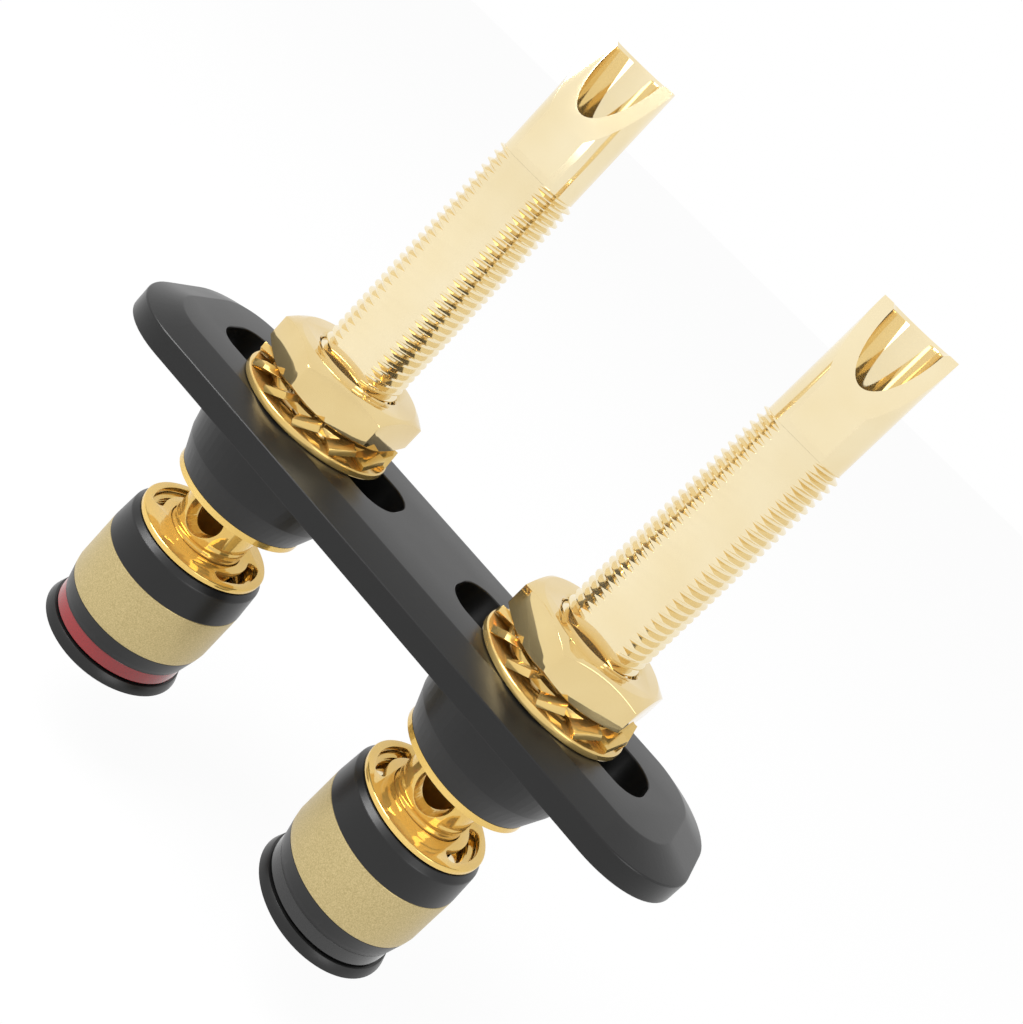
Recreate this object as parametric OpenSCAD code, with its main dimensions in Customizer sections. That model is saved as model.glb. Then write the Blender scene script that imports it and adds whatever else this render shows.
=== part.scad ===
// Twin binding post: two gold plated terminals bolted through one black plate.
// Frame: +Z runs along the threaded studs, the plate's nut side lies on Z = 0,
// X runs from the red post to the black post, the origin is midway between them.

/* [Posts] */
// Distance between the two post axes
post_pitch = 30; // [24:0.5:42]

/* [Plate] */
// Length of the plate
plate_l = 65; // [62:0.5:90]
// Width of the plate
plate_w = 19.8; // [16:0.2:30]
// Thickness of the plate
plate_t = 3; // [2:0.1:5]
// Radius of the plate's corners
plate_r = 7.4; // [4:0.1:7.8]
// Width of the bevel round the nut side
bevel_w = 2.85; // [0.5:0.05:3.2]
// Depth of that bevel
bevel_d = 1.05; // [0.3:0.05:1.5]
// Width of each adjusting slot
slot_w = 6.5; // [6.3:0.1:7.5]
// Length of each adjusting slot
slot_l = 22; // [10:0.5:22]
// Radius in the slot's corners
slot_r = 2.6; // [0.5:0.1:3]

/* [Stud] */
// Outer diameter of the stud's thread
stud_d = 8; // [7.4:0.1:8.6]
// Height of the threaded length above the plate
thread_h = 28; // [16:0.5:40]
// Diameter of the plain solder end
solder_d = 7.36; // [6.6:0.02:7.38]
// Height of the stud's tip above the plate
stud_h = 40; // [36:0.5:60]
// Distance across the two flats
flat_af = 6.2; // [5.8:0.05:6.25]
// Distance from the tip at which the slanting cut meets the flat
cut_l = 7.5; // [4:0.25:10]
// Diameter of the solder cup
cup_d = 5; // [3:0.1:5.4]
// Depth of the solder cup
cup_depth = 9; // [4:0.5:12]

/* [Neck] */
// Diameter of the flange under the insulator
flange_d = 12.9; // [11:0.1:16]
// Thickness of the flange
flange_t = 0.55; // [0.3:0.05:1.5]
// Diameter of the neck
neck_d = 7.3; // [6.4:0.05:8]
// Length of the neck below the flange
neck_l = 10; // [9:0.25:12]
// Diameter of the wire hole
wire_d = 3.7; // [2:0.1:4]
// Distance from the flange to the wire hole's axis
wire_z = 2; // [1.9:0.05:2.6]
// Diameter of the plug socket in the neck's end
socket_d = 4.05; // [3.6:0.05:4.2]
// Depth of that socket
socket_depth = 7.4; // [6:0.1:7.6]

/* [Nut and washers] */
// Distance across the nut's flats
nut_af = 13; // [11:0.1:15]
// Height of the nut
nut_h = 3.6; // [2.5:0.1:7]
// Diameter of the nut's round face
nut_face_d = 12.4; // [10:0.1:12.6]
// Slope of the nut's corner chamfer in degrees
nut_slope = 30; // [15:1:40]
// Turn of the nut about its stud in degrees
nut_turn = 25; // [0:1:59]
// Outer diameter of the flat washer
washer_d = 15; // [13:0.1:18]
// Thickness of the flat washer
washer_t = 0.7; // [0.4:0.05:1.6]
// Outer diameter of the toothed washer
lock_d = 14.6; // [13.6:0.1:17]
// Outer diameter of the toothed washer's ring
lock_ring_d = 11.4; // [10:0.1:12]
// Thickness of the toothed washer's sheet
lock_t = 0.6; // [0.4:0.05:0.8]
// Height from the low to the high corners of its teeth
lock_h = 1.6; // [1.4:0.05:2.4]
// Number of teeth
lock_teeth = 12; // [8:1:14]
// Twist of each tooth in degrees
lock_twist = 28; // [25:1:40]

/* [Insulator] */
// Height of the insulator
ins_h = 6.5; // [5:0.1:10]
// Diameter where it meets the plate
ins_top_d = 16.6; // [14:0.1:18]
// Diameter at the edge between its two tapers
ins_mid_d = 14.8; // [13:0.1:16]
// Height of the lower taper
ins_low_h = 2.4; // [1:0.1:4]

/* [Knob] */
// Open gap between the flange and the clamp disc
gap_h = 4.8; // [3:0.1:5.5]
// Thickness of the clamp disc
disc_t = 0.48; // [0.3:0.02:1]
// Diameter of the clamp disc
disc_d = 12.9; // [11.8:0.1:16]
// Inner radius of the disc's two windows
win_r1 = 4.55; // [4.5:0.05:4.8]
// Outer radius of the disc's two windows
win_r2 = 5.7; // [5.2:0.05:5.8]
// Angle that each window spans
win_span = 62; // [20:1:100]
// Length of the shell above the sleeve
shell_l = 3.45; // [2.5:0.05:6]
// Length of the shell's steep upper taper
shell_lip = 0.7; // [0.3:0.05:1.5]
// Diameter below that taper
shell_lip_d = 13.7; // [13.4:0.1:17]
// Largest diameter of the knob, at the sleeve
knob_d = 14.1; // [13.8:0.1:18]
// Length of the sleeve
sleeve_l = 5.25; // [3:0.05:10]
// Radial thickness of the sleeve
sleeve_t = 0.5; // [0.3:0.05:0.6]
// Length of the sleeve's turned-in lower edge
sleeve_edge = 0.6; // [0.2:0.05:1]
// Length of the band below the sleeve
band_l = 1.8; // [1:0.05:3]
// Diameter at the band's lower end
band_d = 13.05; // [12.6:0.05:13.8]
// Length of the coloured ring
ring_l = 1.25; // [0.8:0.05:2.5]
// Diameter of the coloured ring
ring_d = 12.9; // [12.4:0.05:13.4]
// Groove between the coloured ring and the end plug's head
groove_l = 0.2; // [0.1:0.05:0.6]
// Length of the end plug's head
plug_l = 1.05; // [0.6:0.05:3]
// Diameter of the head's flared rim
plug_d = 13.85; // [12.6:0.05:14.6]
// Length of the plug's spigot
spigot_l = 1.9; // [1:0.1:2.2]

/* [Clearances] */
// Radial clearance of the nut and washers on the stud
stud_clear = 0.1; // [0.05:0.05:0.3]
// Radial running clearance on the neck
run_clear = 0.06; // [0.03:0.01:0.1]
// Gap between parts of the knob that turn against each other
turn_gap = 0.15; // [0.1:0.05:0.3]
// Radial clearance of the knob's fixed rings
ring_clear = 0.02; // [0.01:0.01:0.05]

/* [Hidden] */
$fn = 96;
eps = 0.01;

stud_r = stud_d / 2;
neck_r = neck_d / 2;
knob_r = knob_d / 2;

// Heights down the post, from the plate to the floor
z_ins = -plate_t - ins_h;
z_neck = z_ins - flange_t;
z_end = z_neck - neck_l;
z_disc = z_neck - gap_h;
z_shell = z_disc - disc_t;
z_sleeve = z_shell - shell_l;
z_band = z_sleeve - sleeve_l;
z_ring = z_band - band_l;
z_groove = z_ring - ring_l;
z_plug = z_groove - groove_l;
z_base = z_plug - plug_l;

// Radii inside the knob, from the neck outwards
run_r = neck_r + run_clear;
hub_r = run_r + 0.42;
hub_lip_r = hub_r + 0.3;
core_r = 5.95;
core_cup_r = core_r - 0.3;
core_lip_r = core_r + 0.35;
seat_r = knob_r - sleeve_t - ring_clear;
cup_h = 1.1;
lip_h = 0.5;
collar_h = 0.6;
spigot_r = run_r - turn_gap;

gold = [0.86, 0.68, 0.32];
satin = [0.83, 0.77, 0.56];
black = [0.09, 0.09, 0.09];
slate = [0.2, 0.2, 0.2];
ring_red = [0.5, 0.1, 0.1];
ring_black = [0.05, 0.05, 0.05];

// Rectangle with round corners
module rounded(l, w, r) {
    square([l - 2 * r, w], center = true);
    square([l, w - 2 * r], center = true);
    for (x = [-1, 1], y = [-1, 1])
        translate([x * (l / 2 - r), y * (w / 2 - r)])
            circle(r);
}

// Slab with round corners whose upper edge is bevelled all round
module bevelled_slab(l, w, r, t, bw, bd) {
    translate([0, 0, -t])
        linear_extrude(t - bd)
            rounded(l, w, r);
    for (x = [-1, 1], y = [-1, 1])
        translate([x * (l / 2 - r), y * (w / 2 - r), -bd])
            cylinder(h = bd, r1 = r, r2 = r - bw);
    translate([0, w / 2 - r, 0])
        rotate([90, 0, 0])
            linear_extrude(w - 2 * r)
                polygon([[-l / 2, -bd], [l / 2, -bd], [l / 2 - bw, 0], [bw - l / 2, 0]]);
    translate([r - l / 2, 0, 0])
        rotate([90, 0, 90])
            linear_extrude(l - 2 * r)
                polygon([[-w / 2, -bd], [w / 2, -bd], [w / 2 - bw, 0], [bw - w / 2, 0]]);
}

module plate() {
    color(slate)
        difference() {
            bevelled_slab(plate_l, plate_w, plate_r, plate_t, bevel_w, bevel_d);
            for (side = [-1, 1])
                translate([side * post_pitch / 2, 0, -plate_t - eps])
                    linear_extrude(plate_t + 2 * eps)
                        rounded(slot_l, slot_w, slot_r);
        }
}

// One piece from the solder cup to the neck inside the knob
module post() {
    color(gold)
        difference() {
            rotate_extrude()
                polygon([
                    [0, z_end],
                    [neck_r - 0.3, z_end],
                    [neck_r, z_end + 0.3],
                    [neck_r, z_neck],
                    [flange_d / 2, z_neck],
                    [flange_d / 2, z_ins],
                    [stud_r, z_ins],
                    [stud_r, thread_h],
                    [solder_d / 2, thread_h],
                    [solder_d / 2, stud_h],
                    [0, stud_h]
                ]);
            for (turn = [0, 180])
                rotate([0, 0, turn])
                    stud_flat();
            slant_cut();
            translate([0, 0, stud_h - cup_depth])
                cylinder(h = cup_depth + eps, d = cup_d);
            translate([0, 0, stud_h - 0.3])
                cylinder(h = 0.3 + eps, d1 = cup_d, d2 = cup_d + 0.6);
            translate([0, 0, z_neck - wire_z])
                rotate([90, 0, 0])
                    cylinder(h = neck_d + 2, d = wire_d, center = true);
            translate([0, 0, z_end - eps])
                cylinder(h = socket_depth + eps, d = socket_d);
        }
}

// Flat that keeps the stud from turning in the slot
module stud_flat() {
    translate([-stud_d, -stud_d - flat_af / 2, -plate_t])
        cube([2 * stud_d, stud_d, stud_h + plate_t + eps]);
}

// Slanting cut that opens the solder cup to the front
module slant_cut() {
    translate([0, -flat_af / 2, stud_h - cut_l])
        rotate([-atan2(flat_af / 2, cut_l), 0, 0])
            translate([-stud_d, -stud_d, 0])
                cube([2 * stud_d, stud_d, 3 * cut_l]);
}

module insulator() {
    color(black)
        rotate_extrude()
            polygon([
                [stud_r + ring_clear, z_ins],
                [flange_d / 2 - 0.02, z_ins],
                [ins_mid_d / 2, z_ins + ins_low_h],
                [ins_top_d / 2, -plate_t],
                [stud_r + ring_clear, -plate_t]
            ]);
}

module flat_washer() {
    color(gold)
        rotate_extrude()
            polygon([
                [stud_r + stud_clear, 0],
                [washer_d / 2 - 0.1, 0],
                [washer_d / 2, 0.1],
                [washer_d / 2, washer_t - 0.1],
                [washer_d / 2 - 0.1, washer_t],
                [stud_r + stud_clear, washer_t]
            ]);
}

// Ring with twisted teeth, whose corners bite the washer and the nut
module tooth_washer() {
    tooth_w = (lock_h - lock_t * cos(lock_twist)) / sin(lock_twist);
    root_r = lock_ring_d / 2 - 0.5;
    color(gold)
        translate([0, 0, washer_t + lock_h / 2])
            difference() {
                union() {
                    cylinder(h = lock_t, d = lock_ring_d, center = true);
                    for (k = [0 : lock_teeth - 1])
                        rotate([0, 0, (k + 0.35) * 360 / lock_teeth])
                            translate([root_r, 0, 0])
                                rotate([lock_twist, 0, 0])
                                    translate([0, -tooth_w / 2, -lock_t / 2])
                                        cube([lock_d / 2 - root_r, tooth_w, lock_t]);
                }
                cylinder(h = 4 * lock_h, r = stud_r + stud_clear, center = true);
            }
}

// Hexagon chamfered on both sides
module hex_nut() {
    corner_r = nut_af / 2 / cos(30);
    clear_r = corner_r + 0.5;
    rise = (clear_r - nut_face_d / 2) * tan(nut_slope);
    color(gold)
        translate([0, 0, washer_t + lock_h])
            difference() {
                intersection() {
                    rotate([0, 0, nut_turn])
                        cylinder(h = nut_h, r = corner_r, $fn = 6);
                    rotate_extrude()
                        polygon([
                            [0, 0],
                            [nut_face_d / 2, 0],
                            [clear_r, rise],
                            [clear_r, nut_h - rise],
                            [nut_face_d / 2, nut_h],
                            [0, nut_h]
                        ]);
                }
                translate([0, 0, -eps])
                    cylinder(h = nut_h + 2 * eps, r = stud_r + stud_clear);
                translate([0, 0, nut_h - 0.25])
                    cylinder(h = 0.25 + eps, r1 = stud_r + stud_clear, r2 = stud_r + 0.4);
            }
}

// Sector of a ring, for one window
module window(r1, r2, span) {
    mid = (r1 + r2) / 2;
    half = (r2 - r1) / 2;
    rotate([0, 0, -span / 2])
        rotate_extrude(angle = span)
            translate([r1, -2])
                square([r2 - r1, 4]);
    for (s = [-1, 1])
        rotate([0, 0, s * span / 2])
            translate([mid, 0, -2])
                cylinder(h = 4, r = half);
}

// Thrust disc that slides on the neck; its hub snaps into the knob's core
module clamp_disc() {
    color(gold)
        difference() {
            rotate_extrude()
                polygon([
                    [run_r, z_disc],
                    [disc_d / 2 - 0.08, z_disc],
                    [disc_d / 2, z_disc - 0.08],
                    [disc_d / 2, z_shell],
                    [hub_r, z_shell],
                    [hub_r, z_shell - cup_h - collar_h - turn_gap],
                    [hub_lip_r, z_shell - cup_h - collar_h - turn_gap],
                    [hub_r + 0.1, z_shell - cup_h - collar_h - lip_h],
                    [run_r, z_shell - cup_h - collar_h - lip_h]
                ]);
            for (turn = [0, 180])
                rotate([0, 0, turn])
                    translate([0, 0, z_disc])
                        window(win_r1, win_r2, win_span);
        }
}

// Threaded insert of the knob, cupped under the disc's windows
module knob_core() {
    collar_z = z_shell - cup_h;
    groove_z = collar_z - collar_h;
    color(gold)
        rotate_extrude()
            polygon([
                [core_cup_r, z_shell - turn_gap],
                [core_r, z_shell - turn_gap],
                [core_r, z_groove],
                [run_r, z_groove],
                [run_r, groove_z - lip_h - turn_gap],
                [hub_lip_r + turn_gap, groove_z - lip_h - turn_gap],
                [hub_lip_r + turn_gap, groove_z],
                [hub_r + turn_gap, groove_z],
                [hub_r + turn_gap, collar_z],
                [core_cup_r, collar_z]
            ]);
}

// Black upper shell; its skirt carries the sleeve
module knob_shell() {
    bore = core_r + ring_clear;
    color(black)
        rotate_extrude()
            polygon([
                [bore, z_shell - turn_gap],
                [disc_d / 2 - 0.02, z_shell - turn_gap],
                [shell_lip_d / 2, z_shell - shell_lip],
                [knob_r, z_sleeve],
                [seat_r, z_sleeve],
                [seat_r, z_band],
                [bore, z_band]
            ]);
}

module knob_sleeve() {
    color(satin)
        rotate_extrude()
            polygon([
                [seat_r + ring_clear, z_sleeve],
                [knob_r, z_sleeve],
                [knob_r, z_band + sleeve_edge],
                [knob_r - 0.1, z_band],
                [seat_r + ring_clear, z_band]
            ]);
}

// Tapered black band; its skirt carries the coloured ring
module knob_band() {
    bore = core_r + ring_clear;
    color(black)
        rotate_extrude()
            polygon([
                [bore, z_band],
                [knob_r - 0.1, z_band],
                [band_d / 2, z_ring],
                [core_lip_r, z_ring],
                [core_lip_r, z_groove],
                [bore, z_groove]
            ]);
}

module colour_ring(tint) {
    color(tint)
        rotate_extrude()
            polygon([
                [core_lip_r + ring_clear, z_ring],
                [ring_d / 2, z_ring],
                [ring_d / 2, z_groove],
                [core_lip_r + ring_clear, z_groove]
            ]);
}

// Push-in plug with a flared head
module end_plug() {
    color(black)
        rotate_extrude()
            polygon([
                [0, z_base],
                [plug_d / 2 - 0.25, z_base],
                [plug_d / 2, z_base + 0.2],
                [plug_d / 2 - 0.3, z_plug],
                [core_r - 0.1, z_plug],
                [core_r - 0.1, z_groove],
                [spigot_r, z_groove],
                [spigot_r, z_groove + spigot_l - 0.3],
                [spigot_r - 0.3, z_groove + spigot_l],
                [0, z_groove + spigot_l]
            ]);
}

module at_red() {
    translate([-post_pitch / 2, 0, 0])
        children();
}

module at_black() {
    translate([post_pitch / 2, 0, 0])
        children();
}

plate();
at_red() post();  // post_red
at_red() insulator();  // insulator_red
at_red() flat_washer();  // flat_washer_red
at_red() tooth_washer();  // tooth_washer_red
at_red() hex_nut();  // hex_nut_red
at_red() clamp_disc();  // clamp_disc_red
at_red() knob_core();  // knob_core_red
at_red() knob_shell();  // knob_shell_red
at_red() knob_sleeve();  // knob_sleeve_red
at_red() knob_band();  // knob_band_red
at_red() colour_ring(ring_red);  // colour_ring_red
at_red() end_plug();  // end_plug_red
at_black() post();  // post_black
at_black() insulator();  // insulator_black
at_black() flat_washer();  // flat_washer_black
at_black() tooth_washer();  // tooth_washer_black
at_black() hex_nut();  // hex_nut_black
at_black() clamp_disc();  // clamp_disc_black
at_black() knob_core();  // knob_core_black
at_black() knob_shell();  // knob_shell_black
at_black() knob_sleeve();  // knob_sleeve_black
at_black() knob_band();  // knob_band_black
at_black() colour_ring(ring_black);  // colour_ring_black
at_black() end_plug();  // end_plug_black
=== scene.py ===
import math

import bmesh
import bpy
from mathutils import Matrix, Vector


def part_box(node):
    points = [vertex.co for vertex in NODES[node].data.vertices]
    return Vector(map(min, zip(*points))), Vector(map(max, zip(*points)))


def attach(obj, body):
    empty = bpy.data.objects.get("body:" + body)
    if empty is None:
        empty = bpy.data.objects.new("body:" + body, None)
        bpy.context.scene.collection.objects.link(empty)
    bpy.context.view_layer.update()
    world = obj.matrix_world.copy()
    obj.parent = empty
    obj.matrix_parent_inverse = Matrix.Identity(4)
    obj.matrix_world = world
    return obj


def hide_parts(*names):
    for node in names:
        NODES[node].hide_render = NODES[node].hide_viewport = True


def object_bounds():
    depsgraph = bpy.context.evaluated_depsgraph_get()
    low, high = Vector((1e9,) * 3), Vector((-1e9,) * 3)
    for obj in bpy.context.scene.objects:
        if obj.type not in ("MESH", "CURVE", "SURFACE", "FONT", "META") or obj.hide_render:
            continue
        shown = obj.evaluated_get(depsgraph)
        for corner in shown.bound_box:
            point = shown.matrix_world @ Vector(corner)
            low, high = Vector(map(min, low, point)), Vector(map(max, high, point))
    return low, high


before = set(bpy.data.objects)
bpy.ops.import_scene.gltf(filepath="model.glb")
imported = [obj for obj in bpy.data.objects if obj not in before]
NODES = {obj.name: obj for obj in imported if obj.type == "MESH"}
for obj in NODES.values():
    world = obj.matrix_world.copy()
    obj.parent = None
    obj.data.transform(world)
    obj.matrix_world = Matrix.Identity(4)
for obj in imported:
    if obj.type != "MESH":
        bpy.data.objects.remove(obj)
CAD_BOX = [list(c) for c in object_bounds()]
MM = 0.001


# ---------------------------------------------------------------- materials
def shader_of(mat):
    return mat.node_tree.nodes["Principled BSDF"]


def new_material(name, color, metallic, rough, **extra):
    """Principled material; extra holds further socket values by name."""
    mat = bpy.data.materials.new(name)
    mat.use_nodes = True
    shader = shader_of(mat)
    shader.inputs["Base Color"].default_value = (*color, 1)
    shader.inputs["Metallic"].default_value = metallic
    shader.inputs["Roughness"].default_value = rough
    for key, value in extra.items():
        shader.inputs[key.replace("_", " ")].default_value = value
    return mat


def noise(mat, scale, detail):
    tree = mat.node_tree
    coord = tree.nodes.new("ShaderNodeTexCoord")
    tex = tree.nodes.new("ShaderNodeTexNoise")
    tex.inputs["Scale"].default_value = scale
    tex.inputs["Detail"].default_value = detail
    tree.links.new(coord.outputs["Object"], tex.inputs["Vector"])
    return tex


def vary_roughness(mat, tex, low, high):
    tree = mat.node_tree
    ramp = tree.nodes.new("ShaderNodeMapRange")
    ramp.inputs["To Min"].default_value = low
    ramp.inputs["To Max"].default_value = high
    tree.links.new(tex.outputs["Fac"], ramp.inputs["Value"])
    tree.links.new(ramp.outputs["Result"], shader_of(mat).inputs["Roughness"])


def vary_color(mat, tex, first, second):
    tree = mat.node_tree
    ramp = tree.nodes.new("ShaderNodeValToRGB")
    for element, position, color in zip(ramp.color_ramp.elements, (0.3, 0.7), (first, second)):
        element.position = position
        element.color = (*color, 1)
    tree.links.new(tex.outputs["Fac"], ramp.inputs["Fac"])
    tree.links.new(ramp.outputs["Color"], shader_of(mat).inputs["Base Color"])


def bump(mat, tex, strength, distance):
    tree = mat.node_tree
    node = tree.nodes.new("ShaderNodeBump")
    node.inputs["Strength"].default_value = strength
    node.inputs["Distance"].default_value = distance
    tree.links.new(tex.outputs["Fac"], node.inputs["Height"])
    tree.links.new(node.outputs["Normal"], shader_of(mat).inputs["Normal"])


def gold_material(name, light, dark, low, high, metallic):
    mat = new_material(name, light, metallic, low)
    vary_roughness(mat, noise(mat, 420, 3), low, high)
    vary_color(mat, noise(mat, 160, 2), dark, light)
    return mat


def satin_material():
    mat = new_material("gold_blasted", (0.52, 0.41, 0.19), metallic=0.75, rough=0.40)
    grain = noise(mat, 9500, 1)
    bump(mat, grain, strength=0.45, distance=0.00004)
    vary_color(mat, grain, (0.43, 0.34, 0.15), (0.60, 0.48, 0.24))
    return mat


def black_material():
    tone = (0.006, 0.006, 0.006)
    mat = new_material("black_moulded", tone, metallic=0.0, rough=0.36, Specular_IOR_Level=0.4)
    grain = noise(mat, 3000, 2)
    bump(mat, grain, strength=0.12, distance=0.00003)
    vary_roughness(mat, noise(mat, 300, 3), low=0.30, high=0.38)
    return mat


def plate_material():
    tone = (0.007, 0.007, 0.007)
    mat = new_material("plate_satin", tone, metallic=0.0, rough=0.32, Specular_IOR_Level=0.36)
    grain = noise(mat, 3400, 3)
    bump(mat, grain, strength=0.15, distance=0.00003)
    vary_roughness(mat, noise(mat, 260, 3), low=0.26, high=0.34)
    return mat


def ring_material(name, color):
    coat = {"Coat_Weight": 0.3, "Coat_Roughness": 0.05}
    mat = new_material(name, color, metallic=0.0, rough=0.16, **coat)
    vary_roughness(mat, noise(mat, 500, 2), low=0.13, high=0.2)
    return mat


# light and dark tone, least and most roughness, metallic; the nut, washer and neck golds are darker
# copies of the polished gold, their tone a painted reflection of the black parts and dark
# surroundings
GOLD = gold_material("gold_polished", (0.91, 0.79, 0.53), (0.87, 0.73, 0.45), 0.05, 0.09, 0.94)
GOLD_NUT_PAINTED_REFLECTION = gold_material("gold_nut_painted_reflection", (0.80, 0.63, 0.32), (0.74, 0.56, 0.26), 0.03, 0.07, 0.92)
GOLD_WASHER_PAINTED_REFLECTION = gold_material("gold_washer_painted_reflection", (0.78, 0.56, 0.21), (0.68, 0.46, 0.14), 0.08, 0.14, 0.72)
GOLD_NECK_PAINTED_REFLECTION = gold_material("gold_neck_painted_reflection", (0.84, 0.59, 0.19), (0.76, 0.50, 0.13), 0.05, 0.09, 0.68)
SATIN = satin_material()
BLACK = black_material()
PLATE = plate_material()
RING = {
    "red": ring_material("gloss_red", (0.22, 0.010, 0.012)),
    "black": ring_material("gloss_black", (0.012, 0.012, 0.012)),
}


# ---------------------------------------------------------------- meshes
POST_X = {"red": -15 * MM, "black": 15 * MM}

# welded corners, the plane of a cut, and the angle under which two faces count as one
WELD, CUT, ONE_FACE = 1e-7, 1e-8, math.radians(0.4)

# widths of the broken edges
EDGE_FINE, EDGE, EDGE_BROAD, EDGE_PLATE = 0.03 * MM, 0.05 * MM, 0.08 * MM, 0.12 * MM

# the stud's thread: crest and root radius, pitch, half width over the flats, its two ends,
# steps in a turn, points of the profile as share of the pitch and radius, and how far the
# threaded rod runs into the rest of the post below and above
THREAD_R, ROOT_R, PITCH, FLAT_Y = 4.0 * MM, 3.53 * MM, 0.77 * MM, 3.1 * MM
THREAD_LOW, THREAD_TOP = -9.3 * MM, 28.02 * MM
THREAD_STEPS = 72
THREAD_PROFILE = ((0.0, ROOT_R), (0.25, ROOT_R), (0.5625, THREAD_R), (0.6875, THREAD_R))
LAP_LOW, LAP_TOP = 0.1 * MM, 0.01 * MM

# the neck's running thread: outer radius, pitch, depth, cuts in a turn, its two ends
NECK_R, NECK_PITCH, NECK_DEPTH, NECK_CUTS = 3.65 * MM, 0.75 * MM, 0.07 * MM, 8
NECK_TOP, NECK_END = -13.4 * MM, -19.9 * MM

# the wire hole: radius, level, width of its broken edge, and the half width and the level
# above which the running thread spares it
HOLE_R, HOLE_Z, HOLE_RIM = 1.85 * MM, -12.05 * MM, 0.2 * MM
HOLE_HALF, HOLE_LOW = 2.1 * MM, -14.2 * MM
ON_WALL = 0.03 * MM  # a vertex this close to a wall lies on it

# the ridges in the knob's cup: outer and inner radius, depth of the groove, distances of the
# lowest and the highest point below the core's top, ridges, steps round
CUP_OUTER, CUP_INNER, CUP_GROOVE = 5.62 * MM, 5.2 * MM, 0.08 * MM
CUP_LOW, CUP_TOP, CUP_RIDGES, CUP_STEPS = 1.0 * MM, 0.05 * MM, 3, 96
HAIR = 0.0001 * MM

# turn of each toothed washer that brings its teeth where the photo has them
TOOTH_TURN = {"red": math.radians(8.0), "black": math.radians(1.0)}


def welded(node):
    """Copy of a CAD node's mesh with its split corners joined and flat faces merged."""
    bm = bmesh.new()
    bm.from_mesh(NODES[node].data)
    bmesh.ops.remove_doubles(bm, verts=bm.verts, dist=WELD)
    bmesh.ops.dissolve_limit(bm, angle_limit=ONE_FACE, verts=bm.verts, edges=bm.edges)
    return bm


def slice_at(bm, place, normal, clear_outer=False):
    """Adds edges where the plane meets the mesh, and on request drops what is beyond it."""
    geom = list(bm.verts) + list(bm.edges) + list(bm.faces)
    bmesh.ops.bisect_plane(
        bm, geom=geom, dist=CUT, plane_co=place, plane_no=normal, clear_outer=clear_outer
    )


def cut(bm, place, normal):
    """Keeps what lies behind the plane and caps the opening."""
    slice_at(bm, place, normal, clear_outer=True)
    edges = [e for e in bm.edges if e.is_boundary]
    bmesh.ops.holes_fill(bm, edges=edges, sides=0)


def smooth_by_angle(mesh, degrees):
    """Smooth shading with sharp edges over the angle, in place of the CAD's own normals."""
    for poly in mesh.polygons:
        poly.use_smooth = True
    if mesh.has_custom_normals:
        mesh.attributes.remove(mesh.attributes["custom_normal"])
    mesh.set_sharp_from_angle(angle=math.radians(degrees))


def finish_piece(name, bm, mat, body, nodes, degrees, bevel=0.0):
    """Turns bm into a piece that rides on body and stands for the given nodes.

    Edges sharper than degrees stay sharp, or are broken to the width bevel.
    """
    bmesh.ops.recalc_face_normals(bm, faces=bm.faces)
    mesh = bpy.data.meshes.new(name)
    bm.to_mesh(mesh)
    bm.free()
    obj = bpy.data.objects.new(name, mesh)
    bpy.context.scene.collection.objects.link(obj)
    mesh.materials.append(mat)
    if bevel:
        mod = obj.modifiers.new("edge", "BEVEL")
        mod.width = bevel
        mod.segments = 2
        mod.limit_method = "ANGLE"
        mod.angle_limit = math.radians(degrees)
        graph = bpy.context.evaluated_depsgraph_get()
        mesh = bpy.data.meshes.new_from_object(obj.evaluated_get(graph))
        obj.modifiers.clear()
        obj.data = mesh
    smooth_by_angle(mesh, degrees)
    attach(obj, body)
    if nodes:
        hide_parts(*nodes)
    return obj


def move_into(bm, other):
    """Adds the mesh of other to bm, and frees other."""
    mesh = bpy.data.meshes.new("part")
    other.to_mesh(mesh)
    other.free()
    bm.from_mesh(mesh)
    bpy.data.meshes.remove(mesh)


def add_threaded_rod(bm, x, low, top):
    """Right-handed V thread about the post axis, cut flat on two sides."""
    rod = bmesh.new()
    steps = THREAD_STEPS
    first = math.floor(low / PITCH) - 2
    turns = math.ceil(top / PITCH) + 2 - first
    rows = []
    for j in range(turns * steps + 1):
        ang = 2 * math.pi * (j % steps) / steps
        rise = (first + j / steps) * PITCH
        across, along = math.cos(ang), math.sin(ang)
        rows.append([
            rod.verts.new((x + r * across, r * along, rise + f * PITCH)) for f, r in THREAD_PROFILE
        ])
    for j in range(len(rows) - 1):
        for k in range(3):
            rod.faces.new((rows[j][k], rows[j + 1][k], rows[j + 1][k + 1], rows[j][k + 1]))
        if j + steps + 1 < len(rows):
            after, here = rows[j + steps + 1], rows[j + steps]
            rod.faces.new((rows[j][3], rows[j + 1][3], after[0], here[0]))
    for place, normal in (
        ((x, 0, low), (0, 0, -1)),
        ((x, 0, top), (0, 0, 1)),
        ((x, -FLAT_Y, 0), (0, -1, 0)),
        ((x, FLAT_Y, 0), (0, 1, 0)),
    ):
        cut(rod, place, normal)
    move_into(bm, rod)


def part_of(bm, node, place, normal):
    """Adds to bm what lies behind the plane in a copy of the node."""
    part = welded(node)
    cut(part, place, normal)
    move_into(bm, part)


def cut_neck_thread(bm, x):
    """Presses the knob's running thread into the lower neck's outer wall."""
    step = NECK_PITCH / NECK_CUTS
    for k in range(int((NECK_TOP - NECK_END) / step)):
        slice_at(bm, (x, 0, NECK_TOP - k * step), (0, 0, 1))
    for v in bm.verts:
        radius = math.hypot(v.co.x - x, v.co.y)
        if abs(radius - NECK_R) > ON_WALL or not NECK_END < v.co.z < NECK_TOP:
            continue
        if v.co.z > HOLE_LOW and abs(v.co.x - x) < HOLE_HALF:
            continue
        turn = math.atan2(v.co.y, v.co.x - x) / (2 * math.pi)
        phase = (v.co.z / NECK_PITCH - turn) % 1
        depth = NECK_DEPTH * abs(2 * phase - 1)
        v.co.x = x + (v.co.x - x) * (1 - depth / radius)
        v.co.y *= 1 - depth / radius


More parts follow.
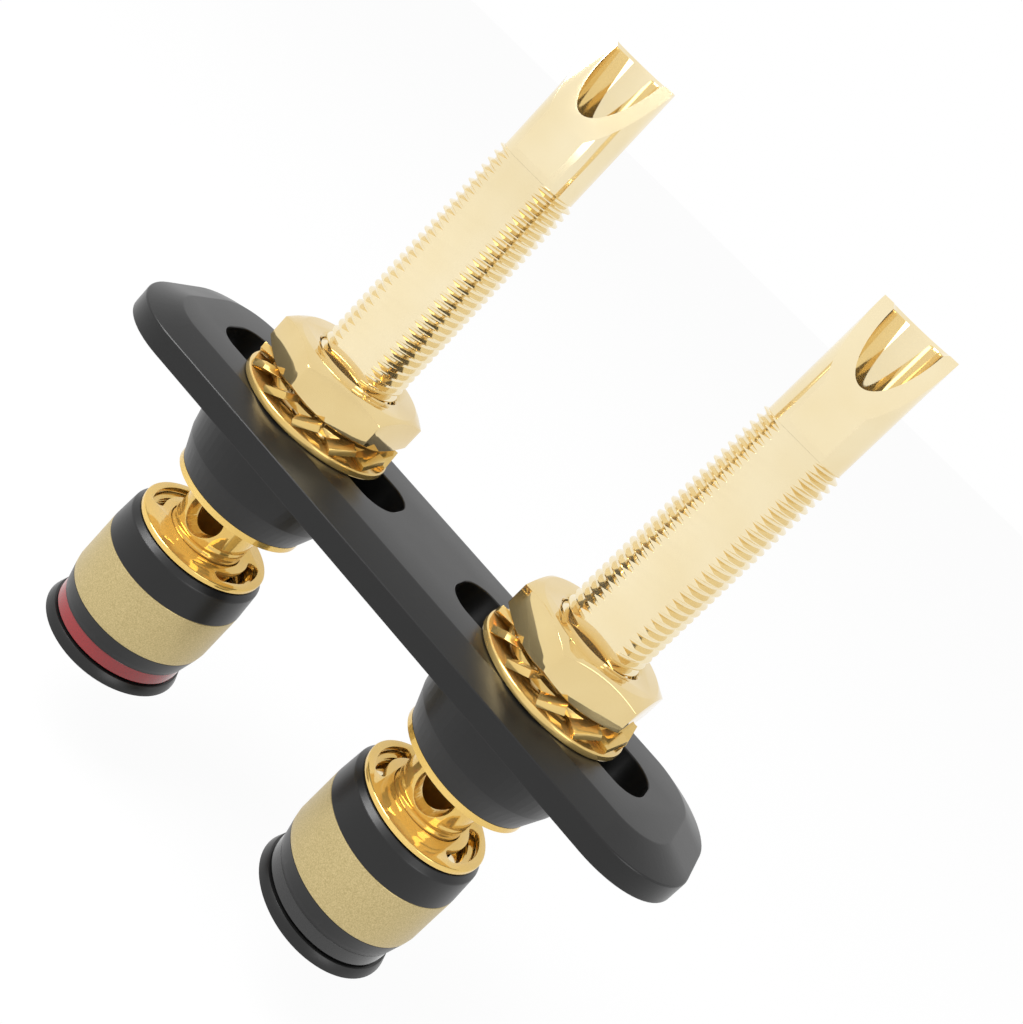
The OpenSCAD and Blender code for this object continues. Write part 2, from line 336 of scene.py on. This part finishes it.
def round_hole_rim(bm, x):
    """Breaks the edge where the wire hole comes out of the neck."""
    def on_rim(v):
        off_hole = abs(math.hypot(v.co.x - x, v.co.z - HOLE_Z) - HOLE_R)
        off_neck = abs(math.hypot(v.co.x - x, v.co.y) - NECK_R)
        return off_hole < ON_WALL and off_neck < ON_WALL

    edges = [e for e in bm.edges if on_rim(e.verts[0]) and on_rim(e.verts[1])]
    bmesh.ops.bevel(
        bm, geom=edges, offset=HOLE_RIM, segments=2, profile=0.5, affect="EDGES", clamp_overlap=True
    )


def make_post(side):
    """The post with its two threads: neck and flange, then solder cup, then stud."""
    node = f"post_{side}"
    x = POST_X[side]
    bm = bmesh.new()
    part_of(bm, node, (x, 0, THREAD_LOW + LAP_LOW), (0, 0, 1))
    round_hole_rim(bm, x)
    cut_neck_thread(bm, x)
    # the lower neck takes the second material, the darker gold whose tone is a painted reflection
    # of the black parts around it
    for face in bm.faces:
        face.material_index = 1
    part_of(bm, node, (x, 0, THREAD_TOP - LAP_TOP), (0, 0, -1))
    add_threaded_rod(bm, x, THREAD_LOW, THREAD_TOP)
    post = finish_piece(f"threaded_post_{side}", bm, GOLD, "mount", [node], degrees=28)
    post.data.materials.append(GOLD_NECK_PAINTED_REFLECTION)


def make_cup_ridges(side):
    """Ridged wall of the knob's cup, seen through the clamp disc's windows."""
    x = POST_X[side]
    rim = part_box(f"knob_core_{side}")[1][2]
    low, top = rim - CUP_LOW, rim - CUP_TOP
    step = (top - low) / CUP_RIDGES
    groove = CUP_OUTER - CUP_GROOVE
    profile = [(CUP_OUTER, low)]
    for k in range(CUP_RIDGES):
        profile += [(groove, low + k * step + HAIR), (CUP_INNER, low + (k + 0.5) * step)]
    profile += [(groove, top - HAIR), (CUP_OUTER, top)]
    bm = bmesh.new()
    rows = []
    for j in range(CUP_STEPS):
        ang = 2 * math.pi * j / CUP_STEPS
        across, along = math.cos(ang), math.sin(ang)
        rows.append([bm.verts.new((x + r * across, r * along, z)) for r, z in profile])
    for j in range(CUP_STEPS):
        here, there = rows[j], rows[(j + 1) % CUP_STEPS]
        for k in range(len(profile)):
            m = (k + 1) % len(profile)
            bm.faces.new((here[k], there[k], there[m], here[m]))
    # the ridges take the darker neck gold, its tone a painted reflection of the dark parts around
    # them
    finish_piece(f"cup_ridges_{side}", bm, GOLD_NECK_PAINTED_REFLECTION, f"knob_{side}", [], degrees=25)


def soften(node, mat, body, bevel, degrees):
    """Stands a copy with broken edges in for the node."""
    finish_piece(f"{node}_edged", welded(node), mat, body, [node], degrees, bevel)


def make_tooth_washer(side):
    """The toothed washer, turned a little about its stud."""
    node = f"tooth_washer_{side}"
    bm = welded(node)
    centre = (POST_X[side], 0, 0)
    turn = Matrix.Rotation(TOOTH_TURN[side], 3, "Z")
    bmesh.ops.rotate(bm, cent=centre, matrix=turn, verts=bm.verts)
    # the washer's darker gold tone is a painted reflection of the black plate and parts around it
    finish_piece(f"{node}_edged", bm, GOLD_WASHER_PAINTED_REFLECTION, "mount", [node], 30, EDGE_FINE)


def dress(node, mat):
    """Gives the CAD node itself its material."""
    mesh = NODES[node].data
    mesh.materials.clear()
    mesh.materials.append(mat)


dress("plate", PLATE)
soften("plate", PLATE, "mount", EDGE_PLATE, 14)
for side in ("red", "black"):
    for part in ("post", "flat_washer", "tooth_washer", "hex_nut", "clamp_disc", "knob_core"):
        dress(f"{part}_{side}", GOLD)
    for part in ("insulator", "knob_shell", "knob_band", "end_plug"):
        dress(f"{part}_{side}", BLACK)
    dress(f"knob_sleeve_{side}", SATIN)
    dress(f"colour_ring_{side}", RING[side])
    make_post(side)
    make_cup_ridges(side)
    # the flat washer's darker gold tone is a painted reflection of the black plate and parts around
    # it
    soften(f"flat_washer_{side}", GOLD_WASHER_PAINTED_REFLECTION, "mount", EDGE, 30)
    make_tooth_washer(side)
    # the nut's darker gold tone is a painted reflection of the dark parts around it
    soften(f"hex_nut_{side}", GOLD_NUT_PAINTED_REFLECTION, "mount", EDGE, 18)
    soften(f"insulator_{side}", BLACK, "mount", EDGE_BROAD, 5)
    # the clamp disc takes the darker neck gold, its tone a painted reflection of the black
    # insulator and flange above it
    soften(f"clamp_disc_{side}", GOLD_NECK_PAINTED_REFLECTION, f"clamp_{side}", EDGE_FINE, 30)
    soften(f"knob_shell_{side}", BLACK, f"knob_{side}", EDGE_BROAD, 8)
    soften(f"knob_sleeve_{side}", SATIN, f"knob_{side}", EDGE, 20)
    soften(f"knob_band_{side}", BLACK, f"knob_{side}", EDGE, 20)
    soften(f"colour_ring_{side}", RING[side], f"knob_{side}", EDGE, 20)
    soften(f"end_plug_{side}", BLACK, f"plug_{side}", EDGE_FINE, 20)


# ---------------------------------------------------------------- camera
# solved from the photo: place, the directions right, down and ahead, the focal length in
# pixels, and the shift of the picture; then the frame's side in pixels and the sensor in mm
CAM_PLACE = (0.01894, -0.09657, 0.03660)
CAM_ROWS = (
    (0.668611, 0.301543, 0.679729),
    (0.708454, 0.019441, -0.705490),
    (-0.225950, 0.953254, -0.200631),
)
CAM_F = 1251.7
CAM_SHIFT = (-0.01923, -0.13464)
FRAME_SIDE, SENSOR = 1024, 36


def add_camera():
    data = bpy.data.cameras.new("camera")
    cam = bpy.data.objects.new("camera", data)
    bpy.context.scene.collection.objects.link(cam)
    right, down, ahead = (Vector(r) for r in CAM_ROWS)
    rot = Matrix((right, -down, -ahead)).transposed()
    cam.matrix_world = Matrix.Translation(Vector(CAM_PLACE)) @ rot.to_4x4()
    data.sensor_width = SENSOR
    data.lens = CAM_F * SENSOR / FRAME_SIDE
    data.shift_x, data.shift_y = CAM_SHIFT
    data.clip_start = 0.005
    data.clip_end = 10
    bpy.context.scene.camera = cam


add_camera()


# ---------------------------------------------------------------- stage
PULL_ROOM = 8.6 * MM  # space under the part for an end plug pulled to its limit
FLOOR_WHITE = 0.95  # share of the floor that is plain white; the rest takes the shadow
FLOOR_SIDE = 6
AMBIENT, WHITE = 0.5, 1.0  # surroundings as they light the part, and as they are seen


def seen_directly(tree):
    """1 for a ray from the camera or off a glossy surface, which sees plain white."""
    path = tree.nodes.new("ShaderNodeLightPath")
    seen = tree.nodes.new("ShaderNodeMath")
    seen.operation = "MAXIMUM"
    tree.links.new(path.outputs["Is Camera Ray"], seen.inputs[0])
    tree.links.new(path.outputs["Is Glossy Ray"], seen.inputs[1])
    return seen.outputs[0]


def add_floor():
    low = CAD_BOX[0][2] - PULL_ROOM
    bpy.ops.mesh.primitive_plane_add(size=FLOOR_SIDE, location=(0, 0, low))
    floor = bpy.context.object
    floor.name = "floor"
    mat = bpy.data.materials.new("floor_white")
    mat.use_nodes = True
    tree = mat.node_tree
    shader = shader_of(mat)
    shader.inputs["Base Color"].default_value = (0.9, 0.9, 0.9, 1)
    shader.inputs["Roughness"].default_value = 0.8
    shader.inputs["Specular IOR Level"].default_value = 0.1
    glow = tree.nodes.new("ShaderNodeEmission")
    glow.inputs["Strength"].default_value = WHITE
    mix = tree.nodes.new("ShaderNodeMixShader")
    pick = tree.nodes.new("ShaderNodeMath")
    pick.operation = "MULTIPLY"
    pick.inputs[1].default_value = FLOOR_WHITE
    tree.links.new(seen_directly(tree), pick.inputs[0])
    tree.links.new(pick.outputs[0], mix.inputs["Fac"])
    tree.links.new(shader.outputs[0], mix.inputs[1])
    tree.links.new(glow.outputs[0], mix.inputs[2])
    tree.links.new(mix.outputs[0], tree.nodes["Material Output"].inputs["Surface"])
    floor.data.materials.append(mat)


def add_world():
    world = bpy.data.worlds.new("studio")
    bpy.context.scene.world = world
    world.use_nodes = True
    tree = world.node_tree
    back = tree.nodes["Background"]
    back.inputs["Color"].default_value = (1, 1, 1, 1)
    back.inputs["Strength"].default_value = AMBIENT
    white = tree.nodes.new("ShaderNodeBackground")
    white.inputs["Color"].default_value = (1, 1, 1, 1)
    white.inputs["Strength"].default_value = WHITE
    mix = tree.nodes.new("ShaderNodeMixShader")
    tree.links.new(seen_directly(tree), mix.inputs["Fac"])
    tree.links.new(back.outputs[0], mix.inputs[1])
    tree.links.new(white.outputs[0], mix.inputs[2])
    tree.links.new(mix.outputs[0], tree.nodes["World Output"].inputs["Surface"])


def add_area(name, place, size, power):
    """Rectangular lamp that faces the origin."""
    data = bpy.data.lights.new(name, "AREA")
    data.shape = "RECTANGLE"
    data.size, data.size_y = size
    data.energy = power
    lamp = bpy.data.objects.new(name, data)
    bpy.context.scene.collection.objects.link(lamp)
    lamp.location = place
    lamp.rotation_euler = (-Vector(place)).to_track_quat("-Z", "Y").to_euler()


add_floor()
add_world()
add_area("key", place=(-0.25, -0.2, 0.35), size=(0.25, 0.25), power=2.8)
add_area("fill", place=(0.35, -0.25, 0.15), size=(0.2, 0.3), power=0.5)

bpy.context.scene.view_settings.view_transform = "Standard"
